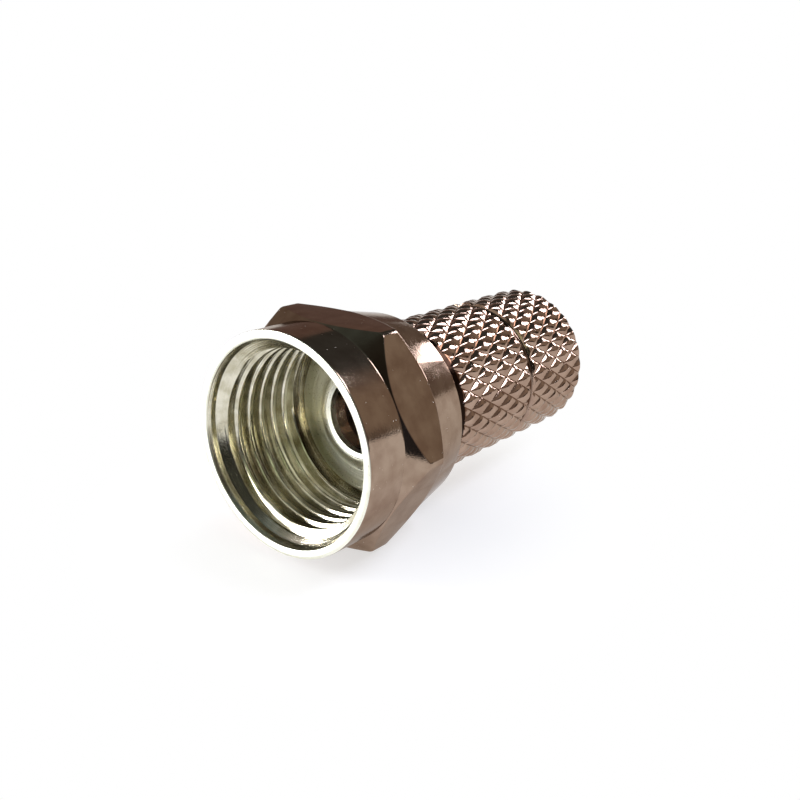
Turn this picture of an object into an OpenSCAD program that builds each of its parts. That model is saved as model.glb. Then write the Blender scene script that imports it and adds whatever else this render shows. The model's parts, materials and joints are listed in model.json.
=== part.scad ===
// Male F connector of the twist-on kind: a hexagonal coupling nut that spins
// freely on a knurled body. The cable is screwed into the body's tail, and the
// nut screws onto a threaded port.
//
// Both pieces are turned about one axis. They are drawn with that axis upright,
// from the mouth of the nut at z = 0 to the cable end at the top, and are then
// laid down as the connector lies on a table: on one flat of the hexagon and on
// the end of the knurled body. The origin is on the axis, where the nut's
// thread begins. Sizes are in millimetres, heights are measured from the mouth.

/* [Coupling nut] */
// Width of the hexagon across its flats
hex_af = 11; // [10.6:0.1:12]
// Width of the hexagon across its turned-off corners
hex_corner_d = 12.58; // [12.3:0.02:12.7]
// Length of the corner edges between the two chamfers
hex_corner_len = 1; // [0.6:0.1:1.4]
// Diameter of the plain collar at the mouth
collar_d = 10.9; // [10.6:0.1:11]
// Length of the collar
collar_len = 2.35; // [2:0.05:3]
// Length of the nut from its mouth to its rear lip
nut_len = 7.5; // [7.3:0.1:8]
// Diameter of the rear lip
nut_lip_d = 10; // [9.8:0.1:10.4]
// Size of the broken edges on the turned rims
edge_break = 0.12; // [0.05:0.01:0.2]

/* [Port thread] */
// Diameter of the thread over its crests, which is the tapped hole's bore
thread_bore_d = 8.72; // [8.66:0.01:8.86]
// Height at which the thread has its full form
thread_start = 1.35; // [1.2:0.05:1.5]
// Height at which the thread runs out
thread_end = 5.6; // [5.2:0.1:5.7]
// Diameter of the plain mouth ahead of the thread
mouth_d = 9.85; // [9.7:0.05:10]
// Depth of the plain mouth, which a chamfer joins to the thread
mouth_len = 0.52; // [0.4:0.01:0.8]
// Diameter of the run-out groove behind the thread
runout_d = 9.7; // [9.6:0.05:9.8]
// Height of the floor behind the thread
floor_z = 6.3; // [6.2:0.05:6.4]

/* [Body] */
// Diameter of the flange that holds the nut
flange_d = 8.4; // [8:0.1:8.5]
// Height of the flange's rim
flange_z = 6; // [5.9:0.05:6.1]
// Thickness of the flange at its rim
flange_t = 0.7; // [0.6:0.05:0.75]
// How far the flange's face rises towards the lip of the bore
flange_rise = 0.22; // [0.1:0.01:0.3]
// How far the rolled lip round the bore stands above the flange's face
lip_rise = 0.25; // [0.15:0.01:0.35]
// Outer diameter of the rolled lip
lip_d = 5; // [4.8:0.1:5.4]
// Diameter of the neck that the nut turns on
neck_d = 6.9; // [6.6:0.1:7]
// Diameter of the plain shoulder behind the nut
shoulder_d = 7.5; // [7.3:0.1:7.6]
// Overall length from the mouth of the nut to the cable end
overall_len = 21.3; // [21:0.1:22]

/* [Knurl] */
// Diameter over the knurl
knurl_d = 8.4; // [8.3:0.1:8.8]
// Height at which the knurl begins
knurl_start = 9.05; // [9:0.05:9.4]
// Number of diamonds round the body
knurl_count = 26; // [20:1:30]
// Distance from one row of diamonds to the next along the axis
knurl_row = 0.877; // [0.7:0.001:1]
// Height of the row of crossings just ahead of the knurl
knurl_row_z = 7.96; // [7.8:0.01:8.8]
// Turn of the diamonds about the axis, in degrees
knurl_turn = 1.2; // [0:0.1:13]
// Depth of the knurling wheel's cut
knurl_depth = 0.17; // [0.1:0.01:0.3]
// How far the diamonds would rise above the blank if they weren't flat-topped
knurl_overshoot = 0.08; // [0.02:0.01:0.12]
// Depth of the groove between the two knurled bands
groove_depth = 0.22; // [0.12:0.01:0.35]
// Height of the groove between the two knurled bands
groove_z = 15.2; // [14.5:0.1:16]
// Width of the groove
groove_w = 0.6; // [0.4:0.05:0.8]
// Size of the chamfer at the cable end
tail_chamfer = 0.4; // [0.2:0.05:0.6]

/* [Bores] */
// Diameter of the front bore, which lets the cable's insulated core through
core_bore_d = 3.8; // [3.6:0.1:4.2]
// Height at which the front bore widens
core_bore_end = 9.6; // [9:0.1:10.5]
// Diameter of the bore that holds the cable's jacket
cable_bore_d = 6; // [5.8:0.1:6.4]
// Size of the countersinks at the ends of the bores
countersink = 0.3; // [0.2:0.05:0.4]

/* [Fit] */
// Clearance all round between the nut and the neck
running_gap = 0.05; // [0.03:0.01:0.1]
// Free play of the nut along the neck, at each side of its web
end_play = 0.08; // [0.05:0.01:0.12]

/* [Hidden] */

$fn = 96;

past = 1;                 // how far a cutting shape passes a surface
flange_edge = 0.08;       // broken edge of the flange
lip_roll = 0.25;          // how far in from its edge the lip is rounded

hex_r = hex_af / 2;       // centre to flat
corner_r = hex_corner_d / 2;
collar_r = collar_d / 2;
nut_lip_r = nut_lip_d / 2;
mouth_r = mouth_d / 2;
thread_bore_r = thread_bore_d / 2;
runout_r = runout_d / 2;

neck_r = neck_d / 2;
flange_r = flange_d / 2;
lip_r = lip_d / 2;
shoulder_r = shoulder_d / 2;
knurl_r = knurl_d / 2;
knurl_root_r = knurl_r - knurl_depth;
core_bore_r = core_bore_d / 2;
cable_bore_r = cable_bore_d / 2;

// Heights along the nut: both chamfers of the hexagon are cut at 45 degrees
corner_start = collar_len + corner_r - collar_r;
corner_end = corner_start + hex_corner_len;
flat_end = corner_end + corner_r - hex_r;

// Heights along the body
flange_back = flange_z + flange_t;
neck_end = nut_len + end_play;
lip_z = flange_z - flange_rise - lip_rise;
tail_flat = overall_len - tail_chamfer;

// The connector tips back until the end of the knurl meets the table
rest_tilt = atan((hex_r - knurl_r) / (tail_flat - flat_end));

// Half section of the round blank of the nut, as [radius, height]
nut_blank = [
    [0, 0],
    [collar_r - edge_break, 0],
    [collar_r, edge_break],
    [collar_r, collar_len],
    [corner_r, corner_start],
    [corner_r, corner_end],
    [hex_r, flat_end],
    [nut_lip_r, nut_len - edge_break],
    [nut_lip_r - edge_break, nut_len],
    [0, nut_len]
];

// Half section of what is bored out of the nut: the plain mouth, the tapped
// hole, its run-out groove, the recess that the flange turns in and the hole
// in the web that turns on the neck
nut_bore = [
    [0, -past],
    [mouth_r + edge_break + past, -past],
    [mouth_r, edge_break],
    [mouth_r, mouth_len],
    [thread_bore_r, thread_start],
    [thread_bore_r, thread_end],
    [runout_r, thread_end + (runout_r - thread_bore_r) / 2],
    [runout_r, floor_z],
    [flange_r + running_gap, floor_z],
    [flange_r + running_gap, flange_back + end_play],
    [neck_r + running_gap, flange_back + end_play],
    [neck_r + running_gap, nut_len + past],
    [0, nut_len + past]
];

// Half section of the body before it is knurled and bored. The lip round the
// bore is rolled outwards.
body_blank = [
    [0, lip_z],
    for (a = [0 : 15 : 90])
        [lip_r - lip_roll * (1 - sin(a)), lip_z + lip_rise * (1 - cos(a))],
    [flange_r - flange_edge, flange_z],
    [flange_r, flange_z + flange_edge],
    [flange_r, flange_back],
    [neck_r, flange_back],
    [neck_r, neck_end],
    [shoulder_r, neck_end],
    [shoulder_r, knurl_start - (knurl_r - shoulder_r) / 2],
    [knurl_r, knurl_start],
    [knurl_r, groove_z],
    [knurl_r - groove_depth, groove_z + groove_w / 4],
    [knurl_r - groove_depth, groove_z + groove_w * 3 / 4],
    [knurl_r, groove_z + groove_w],
    [knurl_r, tail_flat],
    [knurl_r - tail_chamfer, overall_len],
    [0, overall_len]
];

// Half section of the bores in the body, joined by the taper of the drill
body_bore = [
    [0, lip_z - past],
    [core_bore_r + countersink + past, lip_z - past],
    [core_bore_r, lip_z + countersink],
    [core_bore_r, core_bore_end],
    [cable_bore_r, core_bore_end + (cable_bore_r - core_bore_r) / 2],
    [cable_bore_r, overall_len - countersink],
    [cable_bore_r + countersink + past, overall_len + past],
    [0, overall_len + past]
];

// Tips the connector from its drawn position onto the table
module laid_down() {
    rotate([0, 90 + rest_tilt, 0]) translate([0, 0, -thread_start]) children();
}

module turned(half_section) {
    rotate_extrude() polygon(half_section);
}

// A hexagonal bar with flats facing the table and straight up
module hex_bar() {
    rotate([0, 0, 30]) translate([0, 0, -past])
        cylinder(r = hex_r / cos(30), h = nut_len + 2 * past, $fn = 6);
}

// The roller that a diamond knurl would leave on a bar. Crossings of the cuts,
// at the root, and tips of the diamonds take turns round each ring and along
// each row. Each cut follows the diagonal between two crossings, and the
// triangles on either side of it are the flanks of two neighbouring diamonds.
module knurled_roller() {
    rows = ceil((overall_len + past - knurl_row_z) / knurl_row);
    steps = 2 * knurl_count;
    points = [
        for (row = [0 : rows], step = [0 : steps - 1])
            let (
                a = knurl_turn + step * 360 / steps,
                r = (row + step) % 2 == 0 ? knurl_root_r : knurl_r + knurl_overshoot
            )
            [r * cos(a), r * sin(a), knurl_row_z + row * knurl_row]
    ];
    flanks = [
        for (row = [0 : rows - 1], step = [0 : steps - 1])
            let (
                a = row * steps + step,
                b = row * steps + (step + 1) % steps,
                c = b + steps,
                d = a + steps
            )
            for (flank = (row + step) % 2 == 0 ? [[a, c, b], [a, d, c]] : [[a, d, b], [b, d, c]])
                flank
    ];
    ends = [
        [for (step = [0 : steps - 1]) step],
        [for (step = [steps - 1 : -1 : 0]) rows * steps + step]
    ];
    polyhedron(points, concat(flanks, ends), convexity = 4);
}

module coupling_nut() {
    color("silver") laid_down() difference() {
        intersection() {
            turned(nut_blank);
            hex_bar();
        }
        turned(nut_bore);
    }
}

module knurled_body() {
    color("rosybrown") laid_down() difference() {
        intersection() {
            turned(body_blank);
            union() {
                cylinder(r = knurl_r + past, h = knurl_start - 0.2);
                knurled_roller();
            }
        }
        turned(body_bore);
    }
}

coupling_nut();
knurled_body();
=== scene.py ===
import json
from math import ceil, cos, pi, radians, sin, tan, tau

import bpy
import numpy as np
from mathutils import Euler, Matrix, Vector


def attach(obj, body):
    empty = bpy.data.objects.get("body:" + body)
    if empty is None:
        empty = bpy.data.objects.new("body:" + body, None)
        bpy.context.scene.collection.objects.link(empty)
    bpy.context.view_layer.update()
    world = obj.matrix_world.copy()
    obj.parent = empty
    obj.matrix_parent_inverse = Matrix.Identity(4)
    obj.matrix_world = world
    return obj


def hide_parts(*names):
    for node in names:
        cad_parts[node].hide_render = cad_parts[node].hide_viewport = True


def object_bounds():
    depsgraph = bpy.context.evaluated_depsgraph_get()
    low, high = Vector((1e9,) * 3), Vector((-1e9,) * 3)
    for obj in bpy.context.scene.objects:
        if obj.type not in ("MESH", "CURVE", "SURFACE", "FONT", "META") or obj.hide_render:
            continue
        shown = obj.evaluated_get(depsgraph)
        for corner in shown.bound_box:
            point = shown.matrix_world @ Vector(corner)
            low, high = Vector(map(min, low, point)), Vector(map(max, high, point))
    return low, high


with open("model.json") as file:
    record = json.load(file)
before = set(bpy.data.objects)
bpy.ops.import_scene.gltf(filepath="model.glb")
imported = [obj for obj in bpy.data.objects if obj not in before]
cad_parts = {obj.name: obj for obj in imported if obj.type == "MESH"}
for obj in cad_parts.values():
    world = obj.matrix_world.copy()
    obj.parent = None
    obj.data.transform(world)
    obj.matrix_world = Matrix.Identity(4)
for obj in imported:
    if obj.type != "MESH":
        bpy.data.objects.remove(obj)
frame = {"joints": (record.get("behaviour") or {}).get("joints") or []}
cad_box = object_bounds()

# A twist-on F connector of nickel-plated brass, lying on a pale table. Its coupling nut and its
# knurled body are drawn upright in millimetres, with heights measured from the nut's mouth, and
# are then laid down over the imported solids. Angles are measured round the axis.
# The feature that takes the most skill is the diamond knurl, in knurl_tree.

MM = 0.001
MATH = "ShaderNodeMath"

# How far the rounding of a corner reaches along its two sides
HAIRLINE = 0.03
KEEN = 0.04
CRISP = 0.05
EASED = 0.06
ROLLED = 0.12

# Coupling nut
HEX_SIDES = 6
HEX_R = 5.5                    # centre to flat
CORNER_R = 6.29                # centre to a turned-off corner
CORNER_LEN = 1.0
COLLAR_R = 5.45
COLLAR_LEN = 2.35
NUT_LEN = 7.5
NUT_LIP_R = 5.0
EDGE_BREAK = 0.12
MOUTH_R = 4.925
MOUTH_CHAMFER = 0.28           # how deep the chamfer inside the rim reaches
FLOOR_Z = 6.3
RUNOUT_R = 4.85
RECESS_R = 4.25
RECESS_BACK = 6.78
WEB_HOLE_R = 3.5

# Thread of either piece, as shares of its pitch from the middle of the root
FLANK_START = 0.08
FLANK_END = 0.40
THREAD_WELD = 0.0008           # points closer than this become one

# Port thread, 3/8-32 in the nut
PORT_PITCH = 25.4 / 32
PORT_CREST_R = 4.36
PORT_ROOT_R = 4.79
PORT_START = 0.52
PORT_START_SLOPE = 0.9         # how fast the chamfer at the thread's start narrows
PORT_CREST_Z = 2.38            # height of a crest at a quarter turn
PORT_END = 5.845
PORT_ROWS = 20                 # rows of faces in a turn
THREAD_DATUM = 1.35            # height of the part's origin

# Body
CORE_R = 1.9
CORE_END = 9.6
BORE_ROLL = 0.1                # how far the rounding at the bore's end reaches
LIP_Z = 5.53
LIP_R = 2.5
LIP_BORE_R = 1.92              # inner edge of the rolled lip, before it is rounded
LIP_BORE_DEPTH = 0.4           # the bore is straight from this far behind the lip
LIP_TOP_R = 2.46               # outer edge of its top, before it is rounded
LIP_FOOT_R = 2.58              # corner where it meets the flange's face
LIP_FOOT_Z = 5.75
LIP_INNER_ROLL = 0.28          # how far the roundings of its two edges and its foot reach
LIP_OUTER_ROLL = 0.26
LIP_FILLET = 0.3
FACE_Z = 5.78                  # the flange's face where it meets the rolled lip
FLANGE_R = 4.2
FLANGE_Z = 6.0
FLANGE_EDGE = 0.08
FLANGE_BACK = 6.7
NECK_R = 3.45
NECK_END = 7.58
SHOULDER_R = 3.75
BODY_LEN = 21.3
TAIL_CHAMFER = 0.4
COUNTERSINK = 0.3
TAIL_LAND = 0.05               # the part of the countersink that the jacket thread leaves

# Rings that the turning tool leaves
RING_DEPTH = 0.02
FACE_RING_PITCH = 0.15
BORE_RING_PITCH = 0.35
BORE_RINGS_START = 9.2
BORE_RINGS_END = 6.13

# Knurl
KNURL_R = 4.2
KNURL_START = 9.05
KNURL_COUNT = 26
KNURL_ROW = 0.877
KNURL_ROW_Z = 7.96
KNURL_TURN = radians(1.2)
KNURL_DEPTH = 0.17
KNURL_FULLNESS = 2.4           # 1 for flat flanks, more for diamonds with rounded tops
KNURL_OVERSHOOT = 0.01         # how far the tops would rise above the blank, which cuts them flat
KNURL_CELLS = 8                # faces across a diamond
TOP_BLEND = 0.06               # how softly the flanks of a diamond meet at its top
CUT_BLEND = 0.2                # and how softly they end in the cut
KNURL_WELD = 0.002
ROLLER_FLARE = 1.6             # how much wider than the shell the knurling roller's ends are
ROLLER_RUN = (-20.0, 40.0)     # and how far along the axis they run
GROOVE_Z = 15.2
GROOVE_W = 0.6
GROOVE_DEPTH = 0.22
GROOVE_WALL = GROOVE_W / 6     # width of each sloping wall of the groove

# Thread in the tail that bites into the cable's jacket
JACKET_PITCH = 1.0
JACKET_CREST_R = 3.0
JACKET_ROOT_R = 3.2
JACKET_RELIEF_R = 3.22
JACKET_START = 10.45
JACKET_END = BODY_LEN - TAIL_LAND
JACKET_ROWS = 12

NUT_COLUMNS = 240
NUT_CROWDING = 0.8             # draws the nut's columns towards its corners
BODY_COLUMNS = 144
SHARP_FROM = radians(36)       # edges that turn by more than this stay crisp

# Patterns in the plate, as repeats in a millimetre. Real plate's grain is too fine to see, so it
# is drawn as coarse as it needs to show.
RING_SCALE = 9.0               # the lathe's feed of about 0.11 mm
STAIN_SCALE = 1.1              # clouds about a millimetre across
GRAIN_SCALE = 14.0
GRAIN_HEIGHT = 0.25            # as a share of a speck's
SPECK_SCALE = 7.0              # at most one speck in 0.14 mm
SPECK_COLOUR = "#d8ccc0"
SPECK_ROUGHNESS = 0.4          # how much rougher than the plate a speck is
RELIEF = 0.01 * MM             # height of a speck

# Painted shade in the groove and in the gap behind the nut, where shade falls, as heights between
# which it lies, the radius that it stays under and its share of the colour
PAINTED_SHADE = (
    (GROOVE_Z, GROOVE_Z + GROOVE_W, KNURL_R - KNURL_DEPTH, 0.4),
    (FLANGE_BACK, KNURL_START, KNURL_R - 0.08, 0.94),
)
PAINTED_SHADE_COLOUR = "#2c2624"
PAINTED_SHADE_FADE = 0.03              # depth over which the painted shade comes in

# Stage, in metres and degrees
TABLE_SIZE = 8
SHADE_REACH = (0.005, 0.015)   # the table's own shade fades out between these distances
SHADE_SHARE = 0.5
SHADE_LIFT = 0.4               # lifts the shade, so that the part's shadow does most of it
LAMP_DISTANCE = 0.3
CARD_AZIMUTH = -118
CARD_DISTANCE = 0.034
CARD_WIDTH = 0.018
CARD_HEIGHT = 0.024

# Camera, placed in millimetres and turned in degrees
CAMERA_LENS = 42.96
CAMERA_PLACE = (-28.66, -28.71, 19.38)
CAMERA_TURN = (66.7, -0.2, -51.49)
CAMERA_NEAREST = 0.001


def linear(colour):
    """The linear RGBA of an sRGB hex colour."""
    shares = [int(colour[i:i + 2], 16) / 255 for i in (1, 3, 5)]
    return tuple(s / 12.92 if s <= 0.04045 else ((s + 0.055) / 1.055) ** 2.4 for s in shares) + (1,)


def add(tree, kind, inputs=(), **settings):
    """Adds a node with its settings and inputs, which are values or other nodes' outputs, and
    returns its first output in use."""
    node = tree.nodes.new(kind)
    for name, value in settings.items():
        setattr(node, name, value)
    sockets = [socket for socket in node.inputs if socket.enabled]
    for key, value in inputs.items() if isinstance(inputs, dict) else enumerate(inputs):
        socket = sockets[key] if isinstance(key, int) else next(s for s in sockets if s.name == key)
        for end in value if isinstance(value, list) else [value]:
            if isinstance(end, bpy.types.NodeSocket):
                tree.links.new(end, socket)
            else:
                socket.default_value = end
    return next((socket for socket in node.outputs if socket.enabled), node)


# ---------------------------------------------------------------- turned and lofted shells

def eased(corners, steps=4):
    """A half section with its corners rounded. Each corner is (radius, height, reach): the
    rounding starts at that distance from the corner on both sides of it, and takes less than half
    of either side."""
    most, least = 0.45, 1e-6
    points = [corners[0][:2]]
    for before, corner, after in zip(corners, corners[1:], corners[2:]):
        here = np.array(corner[:2])
        reach = corner[2] if len(corner) > 2 else 0
        if not reach:
            points.append(tuple(here))
            continue
        arms = [np.array(other[:2]) - here for other in (before, after)]
        ends = [here + arm * min(most, reach / max(np.hypot(*arm), least)) for arm in arms]
        for share in np.linspace(0, 1, steps):
            curve = (1 - share) ** 2 * ends[0] + 2 * share * (1 - share) * here + share ** 2 * ends[1]
            points.append(tuple(curve))
    return points + [corners[-1][:2]]


def loft(name, angles, section_at):
    """A shell through the half sections round the axis, which all have as many points."""
    rings = np.array([[(r * cos(a), r * sin(a), z) for r, z in section_at(a)] for a in angles])
    columns, rows = rings.shape[:2]
    faces = []
    for i in range(columns):
        here, beside = i * rows, (i + 1) % columns * rows
        faces += [(here + j, beside + j, beside + j + 1, here + j + 1) for j in range(rows - 1)]
    mesh = bpy.data.meshes.new(name)
    mesh.from_pydata(rings.reshape(-1, 3).tolist(), [], faces)
    piece = bpy.data.objects.new(name, mesh)
    bpy.context.scene.collection.objects.link(piece)
    return piece


def facet_distance(angle):
    """Radius of the hexagon in one direction, with its corners turned off and a little rounded."""
    half_side = pi / HEX_SIDES
    from_middle = (angle + half_side) % (2 * half_side) - half_side
    flat = HEX_R / cos(from_middle)
    overlap = max(HAIRLINE - abs(flat - CORNER_R), 0) / HAIRLINE
    return min(flat, CORNER_R) - overlap ** 2 * HAIRLINE / 4


def nut_section(angle):
    """The nut from the start of its thread round its outside and back to the thread's end."""
    hex_r = facet_distance(angle)
    front = COLLAR_LEN + hex_r - COLLAR_R
    corner_end = COLLAR_LEN + (CORNER_R - COLLAR_R) + CORNER_LEN
    return eased([
        (MOUTH_R, PORT_START),
        (MOUTH_R, MOUTH_CHAMFER, HAIRLINE),
        (MOUTH_R + EDGE_BREAK, 0, EASED),
        (COLLAR_R, 0, ROLLED),
        (COLLAR_R, COLLAR_LEN, CRISP),
        (hex_r, front, CRISP),
        (hex_r, corner_end + (CORNER_R - hex_r), EASED),
        (HEX_R, corner_end + (CORNER_R - HEX_R), EASED),
        (NUT_LIP_R, NUT_LEN, ROLLED),
        (WEB_HOLE_R, NUT_LEN, CRISP),
        (WEB_HOLE_R, RECESS_BACK),
        (RECESS_R, RECESS_BACK),
        (RECESS_R, FLOOR_Z, CRISP),
        (RUNOUT_R, FLOOR_Z, CRISP),
        (RUNOUT_R, PORT_END),
    ])


def tool_rings(start, end, pitch):
    """Shallow rings that a turning tool leaves along a straight stretch of a half section."""
    (r0, z0), (r1, z1) = start, end
    length = np.hypot(r1 - r0, z1 - z0)
    count = int(length / pitch)
    across = np.array((z0 - z1, r1 - r0)) / length
    rings = []
    for k in range(1, 2 * count):
        share = k / (2 * count)
        spot = np.array((r0, z0)) * (1 - share) + np.array((r1, z1)) * share
        rings.append(tuple(spot + across * (RING_DEPTH if k % 2 else 0)))
    return rings


def body_section(_angle):
    """The body from the start of its jacket thread round its outside and back to the end of it."""
    bore = ((CORE_R, BORE_RINGS_START), (CORE_R, BORE_RINGS_END))
    face = ((LIP_R + LIP_FILLET, FACE_Z), (FLANGE_R - FLANGE_EDGE, FLANGE_Z))
    return eased([
        (JACKET_RELIEF_R, JACKET_START),
        (JACKET_RELIEF_R, CORE_END + (JACKET_RELIEF_R - CORE_R) / 2),
        (CORE_R, CORE_END, BORE_ROLL),
        *tool_rings(*bore, BORE_RING_PITCH),
        (CORE_R, LIP_Z + LIP_BORE_DEPTH),
        (LIP_BORE_R, LIP_Z, LIP_INNER_ROLL),
        (LIP_TOP_R, LIP_Z, LIP_OUTER_ROLL),
        (LIP_FOOT_R, LIP_FOOT_Z, LIP_FILLET),
        *tool_rings(*face, FACE_RING_PITCH),
        (FLANGE_R, FLANGE_Z, FLANGE_EDGE),
        (FLANGE_R, FLANGE_BACK, KEEN),
        (NECK_R, FLANGE_BACK, KEEN),
        (NECK_R, NECK_END, KEEN),
        (SHOULDER_R, NECK_END, EASED),
        (SHOULDER_R, KNURL_START - (KNURL_R - SHOULDER_R) / 2, EASED),
        (KNURL_R, KNURL_START, KEEN),
        (KNURL_R, GROOVE_Z, KEEN),
        (KNURL_R - GROOVE_DEPTH, GROOVE_Z + GROOVE_WALL, EASED),
        (KNURL_R - GROOVE_DEPTH, GROOVE_Z + GROOVE_W - GROOVE_WALL, EASED),
        (KNURL_R, GROOVE_Z + GROOVE_W, KEEN),
        (KNURL_R, BODY_LEN - TAIL_CHAMFER, EASED),
        (KNURL_R - TAIL_CHAMFER, BODY_LEN, EASED),
        (JACKET_CREST_R + COUNTERSINK, BODY_LEN, KEEN),
        (JACKET_CREST_R + COUNTERSINK - TAIL_LAND, JACKET_END),
    ])


# ---------------------------------------------------------------- geometry node trees

def new_tree(name, sizes):
    """An empty tree that takes a mesh, a material and named sizes, and gives a mesh."""
    tree = bpy.data.node_groups.new(name, "GeometryNodeTree")
    tree.interface.new_socket("Geometry", in_out="OUTPUT", socket_type="NodeSocketGeometry")
    tree.interface.new_socket("Geometry", in_out="INPUT", socket_type="NodeSocketGeometry")
    tree.interface.new_socket("Finish", in_out="INPUT", socket_type="NodeSocketMaterial")
    for size, kind in sizes.items():
        tree.interface.new_socket(size, in_out="INPUT", socket_type=f"NodeSocket{kind}")
    return tree, tree.nodes.new("NodeGroupInput").outputs


def close_tree(tree, geometry, finish):
    """Ends a tree with plain mesh in one finish."""
    real = add(tree, "GeometryNodeRealizeInstances", {"Geometry": geometry})
    smooth = add(tree, "GeometryNodeSetShadeSmooth", {"Geometry": real})
    finished = add(tree, "GeometryNodeSetMaterial", {"Geometry": smooth, "Material": finish})
    add(tree, "NodeGroupOutput", {"Geometry": finished})


def thread_tree():
    """Welds a threaded wall into the gap that a bored shell leaves for it. The rows of the wall
    follow the helix, and its height stops at the wall's two ends, where rows fall together."""
    tree, size = new_tree("Thread wall", {
        "Pitch": "Float", "Crest radius": "Float", "Root radius": "Float",
        "Start": "Float", "Start radius": "Float", "End": "Float", "End radius": "Float",
        "Start slope": "Float", "End slope": "Float", "Crest height": "Float",
        "Columns": "Int", "Rows a turn": "Int", "Crowding": "Float",
    })

    length = add(tree, MATH, [size["End"], size["Start"]], operation="SUBTRACT")
    pitches = add(tree, MATH, [length, size["Pitch"]], operation="DIVIDE")
    one_more = add(tree, MATH, [pitches, 1.0], operation="ADD")
    turns = add(tree, MATH, [one_more], operation="CEIL")
    rows = add(tree, MATH, [turns, size["Rows a turn"]], operation="MULTIPLY")
    grid = add(tree, "GeometryNodeMeshGrid", {
        "Size X": size["Columns"],
        "Size Y": rows,
        "Vertices X": add(tree, MATH, [size["Columns"], 1.0], operation="ADD"),
        "Vertices Y": add(tree, MATH, [rows, 1.0], operation="ADD"),
    })

    # The angle of a column. Columns are crowded towards the hexagon's corners.
    place = add(tree, "ShaderNodeSeparateXYZ", [add(tree, "GeometryNodeInputPosition")]).node.outputs
    from_middle = add(tree, MATH, [place["X"], size["Columns"]], operation="DIVIDE")
    turn = add(tree, MATH, [from_middle, 0.5], operation="ADD")
    even = add(tree, MATH, [turn, tau], operation="MULTIPLY")
    side = add(tree, MATH, [even, HEX_SIDES], operation="MULTIPLY")
    swing = add(tree, MATH, [side], operation="SINE")
    crowding = add(tree, MATH, [swing, size["Crowding"]], operation="MULTIPLY")
    shift = add(tree, MATH, [crowding, HEX_SIDES], operation="DIVIDE")
    angle = add(tree, MATH, [even, shift], operation="ADD")
    turned = add(tree, MATH, [angle, tau], operation="DIVIDE")

    # The height of a row, which climbs by a pitch in each turn
    half = add(tree, MATH, [rows, 2.0], operation="DIVIDE")
    row = add(tree, MATH, [place["Y"], half], operation="ADD")
    along = add(tree, MATH, [row, size["Rows a turn"]], operation="DIVIDE")
    helix = add(tree, MATH, [along, turned], operation="ADD")
    climb = add(tree, MATH, [helix, 1.0], operation="SUBTRACT")
    risen = add(tree, MATH, [climb, size["Pitch"]], operation="MULTIPLY")
    free = add(tree, MATH, [risen, size["Start"]], operation="ADD")
    below_end = add(tree, MATH, [free, size["Start"]], operation="MAXIMUM")
    height = add(tree, MATH, [below_end, size["End"]], operation="MINIMUM")

    # The thread's form, cut back by a cone at either end
    over_crest = add(tree, MATH, [height, size["Crest height"]], operation="SUBTRACT")
    lead = add(tree, MATH, [over_crest, size["Pitch"]], operation="DIVIDE")
    phase = add(tree, MATH, [lead, turned], operation="SUBTRACT")
    wave = add(tree, MATH, [phase], operation="FRACT")
    off_root = add(tree, MATH, [wave, 0.5], operation="SUBTRACT")
    from_root = add(tree, MATH, [off_root], operation="ABSOLUTE")
    thread = add(tree, "ShaderNodeMapRange", {
        "Value": from_root, "From Min": FLANK_START, "From Max": FLANK_END,
        "To Min": size["Root radius"], "To Max": size["Crest radius"],
    }, interpolation_type="SMOOTHSTEP")
    past_start = add(tree, MATH, [size["Start"], height], operation="SUBTRACT")
    past_end = add(tree, MATH, [height, size["End"]], operation="SUBTRACT")
    cones = [
        add(tree, MATH, [past, size[f"{end} slope"], size[f"{end} radius"]], operation="MULTIPLY_ADD")
        for past, end in ((past_start, "Start"), (past_end, "End"))
    ]
    cone = add(tree, MATH, cones, operation="MAXIMUM")
    radius = add(tree, MATH, [thread, cone], operation="MAXIMUM")

    cosine = add(tree, MATH, [angle], operation="COSINE")
    sine = add(tree, MATH, [angle], operation="SINE")
    spot = add(tree, "ShaderNodeCombineXYZ", [
        add(tree, MATH, [radius, cosine], operation="MULTIPLY"),
        add(tree, MATH, [radius, sine], operation="MULTIPLY"),
        height,
    ])
    wall = add(tree, "GeometryNodeSetPosition", {"Geometry": grid, "Position": spot})
    inward = add(tree, "GeometryNodeFlipFaces", {"Mesh": wall})
    both = add(tree, "GeometryNodeJoinGeometry", {"Geometry": [size["Geometry"], inward]})
    welded = add(tree, "GeometryNodeMergeByDistance", {"Geometry": both, "Distance": THREAD_WELD})
    close_tree(tree, welded, size["Finish"])
    return tree


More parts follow.
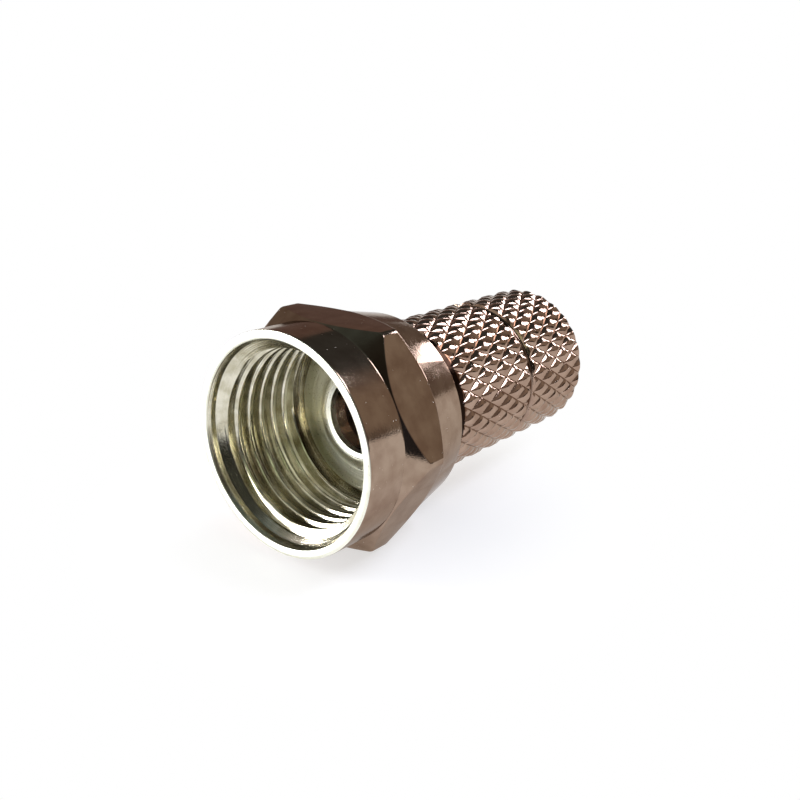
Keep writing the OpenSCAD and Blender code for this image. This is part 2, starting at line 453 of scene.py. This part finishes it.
def knurl_tree():
    """Presses a diamond knurl into a turned shell. One diamond is repeated over a flat strip, the
    strip is rolled round the axis and closed at both ends, and the shell is cut back to it."""
    tree, size = new_tree("Diamond knurl", {
        "Root radius": "Float", "Peak": "Float", "Diamonds round": "Int", "Rows": "Int",
        "Row spacing": "Float", "First row": "Float", "Turn": "Float", "Fullness": "Float",
        "Cells across": "Int",
    })
    half_width = add(tree, MATH, [pi, size["Diamonds round"]], operation="DIVIDE")

    # One diamond, as a grid over its four sides that is crowded towards the cuts along them
    grid = add(tree, "GeometryNodeMeshGrid", {
        "Size X": 2.0,
        "Size Y": 2.0,
        "Vertices X": add(tree, MATH, [size["Cells across"], 1.0], operation="ADD"),
        "Vertices Y": add(tree, MATH, [size["Cells across"], 1.0], operation="ADD"),
    })
    quarter = add(tree, "ShaderNodeVectorMath", [
        add(tree, "GeometryNodeInputPosition"), (pi / 2, pi / 2, 0),
    ], operation="MULTIPLY")
    crowded = add(tree, "ShaderNodeVectorMath", [quarter], operation="SINE")
    sides = add(tree, "ShaderNodeSeparateXYZ", [crowded]).node.outputs

    # Its height falls from the top to the cut, with both ends of the fall blended
    offsets = [add(tree, MATH, [sides[axis]], operation="ABSOLUTE") for axis in "XY"]
    falls = [add(tree, MATH, [offset, size["Fullness"]], operation="POWER") for offset in offsets]
    fall = add(tree, MATH, [*falls, TOP_BLEND], operation="SMOOTH_MAX")
    flanks = add(tree, MATH, [1.0, fall], operation="SUBTRACT")
    mirrored = add(tree, MATH, [flanks, -1.0], operation="MULTIPLY")
    rise = add(tree, MATH, [flanks, mirrored, CUT_BLEND], operation="SMOOTH_MAX")
    spread = add(tree, MATH, [sides["X"], sides["Y"]], operation="SUBTRACT")
    half_spread = add(tree, MATH, [spread, 0.5], operation="MULTIPLY")
    climb = add(tree, MATH, [sides["X"], sides["Y"]], operation="ADD")
    half_climb = add(tree, MATH, [climb, 0.5], operation="MULTIPLY")
    shape = add(tree, "ShaderNodeCombineXYZ", [
        add(tree, MATH, [half_spread, half_width], operation="MULTIPLY"),
        add(tree, MATH, [half_climb, size["Row spacing"]], operation="MULTIPLY"),
        add(tree, MATH, [rise, size["Peak"]], operation="MULTIPLY"),
    ])
    diamond = add(tree, "GeometryNodeSetPosition", {"Geometry": grid, "Position": shape})

    # The strip of diamonds. Every other row is set over by half a diamond.
    spots = add(tree, "GeometryNodePoints", {
        "Count": add(tree, MATH, [size["Rows"], size["Diamonds round"]], operation="MULTIPLY"),
    })
    index = add(tree, "GeometryNodeInputIndex")
    whole_rows = add(tree, MATH, [index, size["Diamonds round"]], operation="DIVIDE")
    row = add(tree, MATH, [whole_rows], operation="FLOOR")
    step = add(tree, MATH, [index, size["Diamonds round"]], operation="MODULO")
    odd_row = add(tree, MATH, [row, 2.0], operation="MODULO")
    shift = add(tree, MATH, [1.0, odd_row], operation="SUBTRACT")
    twice = add(tree, MATH, [step, 2.0], operation="MULTIPLY")
    halves = add(tree, MATH, [twice, shift], operation="ADD")
    across = add(tree, MATH, [halves, half_width], operation="MULTIPLY")
    along = add(tree, MATH, [row, size["Row spacing"]], operation="MULTIPLY")
    spot = add(tree, "ShaderNodeCombineXYZ", [
        add(tree, MATH, [across, size["Turn"]], operation="ADD"),
        add(tree, MATH, [along, size["First row"]], operation="ADD"),
        0.0,
    ])
    placed = add(tree, "GeometryNodeSetPosition", {"Geometry": spots, "Position": spot})
    strip = add(tree, "GeometryNodeInstanceOnPoints", {"Points": placed, "Instance": diamond})
    strip = add(tree, "GeometryNodeRealizeInstances", {"Geometry": strip})

    # The strip rolled up, and welded where diamonds meet
    flat = add(tree, "ShaderNodeSeparateXYZ", [add(tree, "GeometryNodeInputPosition")]).node.outputs
    radius = add(tree, MATH, [size["Root radius"], flat["Z"]], operation="ADD")
    cosine = add(tree, MATH, [flat["X"]], operation="COSINE")
    sine = add(tree, MATH, [flat["X"]], operation="SINE")
    rolled = add(tree, "ShaderNodeCombineXYZ", [
        add(tree, MATH, [radius, cosine], operation="MULTIPLY"),
        add(tree, MATH, [radius, sine], operation="MULTIPLY"),
        flat["Y"],
    ])
    roller = add(tree, "GeometryNodeSetPosition", {"Geometry": strip, "Position": rolled})
    roller = add(tree, "GeometryNodeMergeByDistance", {"Geometry": roller, "Distance": KNURL_WELD})

    # Both ends flare out past the shell, run past its ends and close on the axis. An edge with
    # one face beside it is an open end.
    faces_beside = add(tree, "GeometryNodeInputMeshEdgeNeighbors")
    edge = add(tree, "FunctionNodeCompare", {"A": faces_beside, "B": 1.5}, operation="LESS_THAN")
    here = add(tree, "GeometryNodeInputPosition")
    wider = (ROLLER_FLARE, ROLLER_FLARE, 1.0)
    flare = add(tree, "ShaderNodeVectorMath", [here, wider], operation="MULTIPLY")
    spot = add(tree, "ShaderNodeSeparateXYZ", [here]).node.outputs
    stretch = add(tree, "ShaderNodeMapRange", {
        "Value": spot["Z"],
        "From Min": size["First row"],
        "From Max": add(tree, MATH, [size["First row"], 2.0], operation="ADD"),
        "To Min": ROLLER_RUN[0],
        "To Max": ROLLER_RUN[1],
    })
    run = add(tree, "ShaderNodeCombineXYZ", [spot["X"], spot["Y"], stretch])
    close = add(tree, "ShaderNodeVectorMath", [here, (0.0, 0.0, 1.0)], operation="MULTIPLY")
    mesh = roller
    for target in (flare, run, close):
        extruded = add(tree, "GeometryNodeExtrudeMesh", {
            "Mesh": mesh, "Selection": edge, "Offset Scale": 0.0,
        }, mode="EDGES").node.outputs
        edge = extruded["Top"]
        mesh = add(tree, "GeometryNodeSetPosition", {
            "Geometry": extruded["Mesh"], "Selection": edge, "Position": target,
        })
    closed = add(tree, "GeometryNodeMergeByDistance", {"Geometry": mesh, "Distance": KNURL_WELD})

    cut = add(tree, "GeometryNodeMeshBoolean", {
        0: [size["Geometry"], closed],
    }, operation="INTERSECT", solver="MANIFOLD")
    close_tree(tree, cut, size["Finish"])
    return tree


def put_through(piece, tree, **sizes):
    """Adds a tree to a piece as a modifier, with its named inputs set."""
    modifier = piece.modifiers.new(tree.name, "NODES")
    modifier.node_group = tree
    for socket in tree.interface.items_tree:
        name = socket.name.replace(" ", "_").lower()
        if socket.in_out == "INPUT" and name in sizes:
            modifier[socket.identifier] = sizes[name]


def nut_finish(radius, height):
    """0 on the nut's outside, 1 on its rim and 2 in its bore."""
    if height < EDGE_BREAK / 2:
        return 1
    return 2 if radius < MOUTH_R + EDGE_BREAK and height < FLANGE_BACK else 0


def body_finish(radius, height):
    """0 on the body's outside, 1 on the flange's face and 2 in the front bore."""
    if height < FLANGE_Z + FLANGE_EDGE:
        return 1
    return 2 if radius < CORE_R + BORE_ROLL and height < CORE_END else 0


def as_plain_mesh(piece, place, finishes, finish_at):
    """Turns a piece and its modifiers into a plain mesh in the part's frame, with crisp flats and
    with each face in the finish that belongs at its radius and height."""
    evaluated = piece.evaluated_get(bpy.context.evaluated_depsgraph_get())
    mesh = bpy.data.meshes.new_from_object(evaluated)
    piece.modifiers.clear()
    piece.data = mesh
    mesh.materials.clear()
    for finish in finishes:
        mesh.materials.append(finish)
    for face in mesh.polygons:
        face.material_index = finish_at(face.center.xy.length, face.center.z)
    mesh.transform(place)
    mesh.set_sharp_from_angle(angle=SHARP_FROM)
    normals = piece.modifiers.new("Crisp flats", "WEIGHTED_NORMAL")
    normals.keep_sharp = True


# ---------------------------------------------------------------- finishes

def nickel(name, colour, stain, edge, gloss, turning):
    """Nickel plate over turned brass. It mirrors the room in its own colour, clouded by stains, and
    edge tints it where it is seen edge on. Its roughness varies within gloss. The lathe's rings,
    turning deep, draw reflections out round the axis, and specks and grain break them up."""
    material = bpy.data.materials.new(name)
    material.use_nodes = True
    tree = material.node_tree
    shader = tree.nodes["Principled BSDF"]
    shader.inputs["Metallic"].default_value = 1.0
    shader.inputs["Specular Tint"].default_value = linear(edge)
    place = add(tree, "ShaderNodeTexCoord").node.outputs["Object"]
    upright_mm = add(tree, "ShaderNodeMapping", {
        "Vector": place, "Location": (0, 0, THREAD_DATUM), "Rotation": (0, -pi / 2 - REST_TILT, 0),
        "Scale": (1 / MM,) * 3,
    })
    spot = add(tree, "ShaderNodeSeparateXYZ", [upright_mm]).node.outputs
    across = add(tree, "ShaderNodeCombineXYZ", [spot["X"], spot["Y"], 0.0])
    radius = add(tree, "ShaderNodeVectorMath", [across], operation="LENGTH").node.outputs["Value"]
    ring = add(tree, "ShaderNodeCombineXYZ", [radius, 0.0, spot["Z"]])
    rings = add(tree, "ShaderNodeTexNoise", {"Vector": ring, "Scale": RING_SCALE, "Detail": 2.0})
    cloud = add(tree, "ShaderNodeTexNoise", {"Vector": upright_mm, "Scale": STAIN_SCALE, "Detail": 4.0})
    grain = add(tree, "ShaderNodeTexNoise", {"Vector": upright_mm, "Scale": GRAIN_SCALE, "Detail": 2.0})
    cells = add(tree, "ShaderNodeTexVoronoi", {"Vector": upright_mm, "Scale": SPECK_SCALE}).node.outputs
    speck_size = add(tree, "ShaderNodeMapRange", {
        "Value": cells["Color"], "From Min": 0.7, "From Max": 1.0, "To Min": 0.0, "To Max": 0.2,
    })
    speck = add(tree, MATH, [cells["Distance"], speck_size], operation="LESS_THAN")

    # Painted shade: the colour darkens in the groove and in the gap behind the nut
    painted_shade = 0.0
    for start, end, reach, share in PAINTED_SHADE:
        middle, half = (start + end) / 2, (end - start) / 2
        level = add(tree, MATH, [spot["Z"], middle, half], operation="COMPARE")
        sunk = add(tree, "ShaderNodeMapRange", {
            "Value": radius, "From Min": reach, "From Max": reach - PAINTED_SHADE_FADE, "To Max": share,
        })
        painted_shade = add(tree, MATH, [level, sunk, painted_shade], operation="MULTIPLY_ADD")

    stained = add(tree, "ShaderNodeMapRange", {"Value": cloud, "From Min": 0.35, "From Max": 0.7})
    tint = linear(colour)
    # The stains and specks are the plate's own; the last mix paints shade into the recesses
    for factor, paint in ((stained, stain), (speck, SPECK_COLOUR), (painted_shade, PAINTED_SHADE_COLOUR)):
        tint = add(tree, "ShaderNodeMix", {
            "Factor": factor, "A": tint, "B": linear(paint),
        }, data_type="RGBA")
    tree.links.new(tint, shader.inputs["Base Color"])

    rough = add(tree, "ShaderNodeMapRange", {
        "Value": grain, "From Min": 0.3, "From Max": 0.7, "To Min": gloss[0], "To Max": gloss[1],
    })
    rough = add(tree, MATH, [speck, SPECK_ROUGHNESS, rough], operation="MULTIPLY_ADD")
    tree.links.new(rough, shader.inputs["Roughness"])
    height = add(tree, MATH, [rings, turning, speck], operation="MULTIPLY_ADD")
    height = add(tree, MATH, [grain, GRAIN_HEIGHT, height], operation="MULTIPLY_ADD")
    bump = add(tree, "ShaderNodeBump", {"Height": height, "Distance": RELIEF, "Strength": 1.0})
    tree.links.new(bump, shader.inputs["Normal"])
    return material


# ---------------------------------------------------------------- stage

def direction(azimuth, elevation):
    """The way that an azimuth and an elevation in degrees point."""
    a, e = radians(azimuth), radians(elevation)
    return Vector((cos(a) * cos(e), sin(a) * cos(e), sin(e)))


def white_table(z, middle):
    """The camera and the metal see the table as white, shaded only near the part."""
    bpy.ops.mesh.primitive_plane_add(size=TABLE_SIZE, location=(middle.x / 2, middle.y, z))
    table = bpy.context.object
    table.name = "table"
    material = bpy.data.materials.new("white_table")
    material.use_nodes = True
    tree = material.node_tree
    tree.nodes.remove(tree.nodes["Principled BSDF"])
    place = add(tree, "ShaderNodeTexCoord").node.outputs["Object"]
    away = add(tree, "ShaderNodeVectorMath", [place], operation="LENGTH").node.outputs["Value"]
    near = add(tree, "ShaderNodeMapRange", {
        "Value": away, "From Min": SHADE_REACH[0], "From Max": SHADE_REACH[1],
        "To Min": SHADE_SHARE, "To Max": 0.0,
    }, interpolation_type="SMOOTHSTEP")
    matt = add(tree, "ShaderNodeBsdfDiffuse", {"Color": linear("#f4f4f6")})
    lift = add(tree, MATH, [near, SHADE_LIFT, 1.0], operation="MULTIPLY_ADD")
    white = add(tree, "ShaderNodeEmission", {"Color": (1, 1, 1, 1), "Strength": lift})
    shaded = add(tree, "ShaderNodeMixShader", [near, white, matt])
    rays = add(tree, "ShaderNodeLightPath").node.outputs
    mirrored = add(tree, MATH, [
        rays["Is Glossy Ray"], rays["Is Transmission Ray"],
    ], operation="MAXIMUM")
    seen = add(tree, MATH, [rays["Is Camera Ray"], mirrored], operation="MAXIMUM")
    surface = add(tree, "ShaderNodeMixShader", [seen, matt, shaded])
    tree.links.new(surface, tree.nodes["Material Output"].inputs["Surface"])
    table.data.materials.append(material)


def black_card(z):
    """A matt black card that stands beside the nut and gives its front chamfer a dark edge to
    mirror. It throws no shadow and doesn't show itself."""
    away, along = direction(CARD_AZIMUTH, 0), direction(CARD_AZIMUTH + 90, 0)
    foot = Vector((0, 0, z)) + away * CARD_DISTANCE
    side, top = along * CARD_WIDTH / 2, Vector((0, 0, CARD_HEIGHT))
    mesh = bpy.data.meshes.new("black_card")
    mesh.from_pydata([foot - side, foot + side, foot + side + top, foot - side + top], [], [(0, 1, 2, 3)])
    card = bpy.data.objects.new("black_card", mesh)
    bpy.context.scene.collection.objects.link(card)
    material = bpy.data.materials.new("black_card")
    material.use_nodes = True
    shader = material.node_tree.nodes["Principled BSDF"]
    shader.inputs["Base Color"].default_value = linear("#16161a")
    shader.inputs["Roughness"].default_value = 1.0
    mesh.materials.append(material)
    card.visible_camera = False
    card.visible_diffuse = False
    card.visible_shadow = False
    card.visible_transmission = False


def room():
    """A dim, warm room. Each part of it is a soft round patch, painted over those before it, which
    is given the direction of its middle, the angles from there at which it is full and at which
    it ends, and its colour. The camera sees plain white."""
    world = bpy.data.worlds.new("room")
    bpy.context.scene.world = world
    world.use_nodes = True
    tree = world.node_tree
    way = add(tree, "ShaderNodeTexCoord").node.outputs["Generated"]
    colour = linear("#8e837a")
    for azimuth, elevation, core, rim, paint in (
        (0, 90, 22, 58, "#566360"),
        (15, 43, 18, 32, "#4c5050"),
        (-40, 18, 8, 24, "#aea294"),
        (42, 12, 8, 20, "#8c7a76"),
        (-150, 25, 34, 62, "#34342f"),
        (-54, 1, 6, 13, "#3a3430"),
        (155, 26, 12, 24, "#dcdacf"),
        (-172, 24, 6, 13, "#e2ecc8"),
    ):
        middle = direction(azimuth, elevation)
        near = add(tree, "ShaderNodeVectorMath", [way, middle], operation="DOT_PRODUCT")
        share = add(tree, "ShaderNodeMapRange", {
            "Value": near.node.outputs["Value"],
            "From Min": cos(radians(rim)),
            "From Max": cos(radians(core)),
        }, interpolation_type="SMOOTHSTEP")
        colour = add(tree, "ShaderNodeMix", {
            "Factor": share, "A": colour, "B": linear(paint),
        }, data_type="RGBA")
    rays = add(tree, "ShaderNodeLightPath").node.outputs
    colour = add(tree, "ShaderNodeMix", {
        "Factor": rays["Is Camera Ray"], "A": colour, "B": (1, 1, 1, 1),
    }, data_type="RGBA")
    tree.links.new(colour, tree.nodes["Background"].inputs["Color"])


def lamps(middle):
    """Soft oval lamps. Each is given the direction it stands in, the angles from its middle to its
    side and to its top, its brightness and its colour."""
    for name, azimuth, elevation, across, high, brightness, colour in (
        ("window", 4, 6, 11, 5, 15.0, "#ebefff"),
        ("window_top", -6, 25, 12, 10, 15.0, "#ebefff"),
        ("high_window", -47, 54, 11, 10, 13.0, "#ebefff"),
        ("front_left", 120, 9, 19, 19, 19.0, "#ffffff"),
        ("front_low", 154, 4, 15, 12, 16.0, "#ffffff"),
    ):
        away = direction(azimuth, elevation)
        lamp = bpy.data.lights.new(name, "AREA")
        lamp.shape = "ELLIPSE"
        lamp.size = 2 * LAMP_DISTANCE * tan(radians(across))
        lamp.size_y = 2 * LAMP_DISTANCE * tan(radians(high))
        area = pi * lamp.size * lamp.size_y / 4
        lamp.energy = brightness * pi * area
        lamp.color = linear(colour)[:3]
        piece = bpy.data.objects.new(name, lamp)
        bpy.context.scene.collection.objects.link(piece)
        piece.location = middle + away * LAMP_DISTANCE
        piece.rotation_euler = away.to_track_quat("Z", "Y").to_euler()


# ---------------------------------------------------------------- the connector

spin = next(joint for joint in frame["joints"] if joint["name"] == "nut_spin")
tail = -Vector(spin["axis"]).normalized()
REST_TILT = -np.arcsin(tail.z)
aside = Vector((0, 1, 0))
down = aside.cross(tail)
upright = Matrix((down, aside, tail)).transposed().to_4x4()
laid_down = Matrix.Scale(MM, 4) @ Matrix.Translation(-THREAD_DATUM * tail) @ upright

# Plate on the nut's outside, whose brown tint is a painted reflection of a brown room and table: a brown
# mirror with soft clouds in it
nickel_with_painted_brown_reflection = nickel(
    "warm_nickel_plate", colour="#a5907f", stain="#8f7868", edge="#cfc8c2", gloss=(0.05, 0.14), turning=0.2,
)
# Plate on the body's outside, rosier and paler, so that each flank of the diamonds shows; its rosy brown tint
# is a painted reflection of a brown room and table
nickel_with_painted_rosy_reflection = nickel(
    "rosy_nickel_plate", colour="#ae9585", stain="#987d6d", edge="#d6cfc8", gloss=(0.05, 0.14), turning=0.2,
)
# Plate on the faced rim and flange: almost white, and satin from the rings of the tool
bright_nickel = nickel(
    "bright_nickel_plate", colour="#f8f8ec", stain="#e8e8d8", edge="#ffffff", gloss=(0.26, 0.40), turning=5.0,
)
# Plate in the bores: a pale, faintly green mirror, blurred a little by the marks of tap and drill
bore_nickel = nickel(
    "nickel_plate_in_the_bores", colour="#e4e0d0", stain="#bab49c", edge="#ffffff", gloss=(0.10, 0.26),
    turning=1.8,
)

threads, knurl = thread_tree(), knurl_tree()

even_angles = [tau * k / NUT_COLUMNS for k in range(NUT_COLUMNS)]
nut_angles = [angle + NUT_CROWDING / HEX_SIDES * sin(HEX_SIDES * angle) for angle in even_angles]
nut = loft("nut", nut_angles, nut_section)
put_through(
    nut, threads, finish=nickel_with_painted_brown_reflection, pitch=PORT_PITCH, crest_radius=PORT_CREST_R,
    root_radius=PORT_ROOT_R, crest_height=PORT_CREST_Z - PORT_PITCH / 4,
    start=PORT_START, start_radius=MOUTH_R, start_slope=PORT_START_SLOPE,
    end=PORT_END, end_radius=RUNOUT_R, end_slope=1.0,
    columns=NUT_COLUMNS, rows_a_turn=PORT_ROWS, crowding=NUT_CROWDING,
)
as_plain_mesh(nut, laid_down, (nickel_with_painted_brown_reflection, bright_nickel, bore_nickel), nut_finish)

body_angles = [tau * k / BODY_COLUMNS for k in range(BODY_COLUMNS)]
body = loft("knurled_sleeve", body_angles, body_section)
put_through(
    body, threads, finish=nickel_with_painted_rosy_reflection, pitch=JACKET_PITCH, crest_radius=JACKET_CREST_R,
    root_radius=JACKET_ROOT_R, crest_height=JACKET_START,
    start=JACKET_START, start_radius=JACKET_RELIEF_R, start_slope=1.0,
    end=JACKET_END, end_radius=JACKET_CREST_R + COUNTERSINK - TAIL_LAND, end_slope=1.0,
    columns=BODY_COLUMNS, rows_a_turn=JACKET_ROWS, crowding=0.0,
)
put_through(
    body, knurl, finish=nickel_with_painted_rosy_reflection, root_radius=KNURL_R - KNURL_DEPTH, peak=KNURL_DEPTH + KNURL_OVERSHOOT,
    diamonds_round=KNURL_COUNT, rows=ceil((BODY_LEN + 1 - KNURL_ROW_Z) / KNURL_ROW),
    row_spacing=KNURL_ROW, first_row=KNURL_ROW_Z, turn=KNURL_TURN, fullness=KNURL_FULLNESS,
    cells_across=KNURL_CELLS,
)
as_plain_mesh(body, laid_down, (nickel_with_painted_rosy_reflection, bright_nickel, bore_nickel), body_finish)

for piece, node, slot in (
    (nut, "coupling_nut", "nickel_plated_nut"),
    (body, "knurled_body", "nickel_plated_body"),
):
    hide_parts(node)
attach(nut, "nut")
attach(body, "body")

# ---------------------------------------------------------------- stage and camera

middle = (cad_box[0] + cad_box[1]) / 2
white_table(cad_box[0].z, middle)
black_card(cad_box[0].z)
room()
lamps(middle)

lens = bpy.data.cameras.new("camera")
lens.lens = CAMERA_LENS
lens.clip_start = CAMERA_NEAREST
camera = bpy.data.objects.new("camera", lens)
camera.location = Vector(CAMERA_PLACE) * MM
camera.rotation_euler = Euler([radians(a) for a in CAMERA_TURN])
bpy.context.scene.collection.objects.link(camera)
bpy.context.scene.camera = camera
bpy.context.scene.view_settings.view_transform = "Standard"
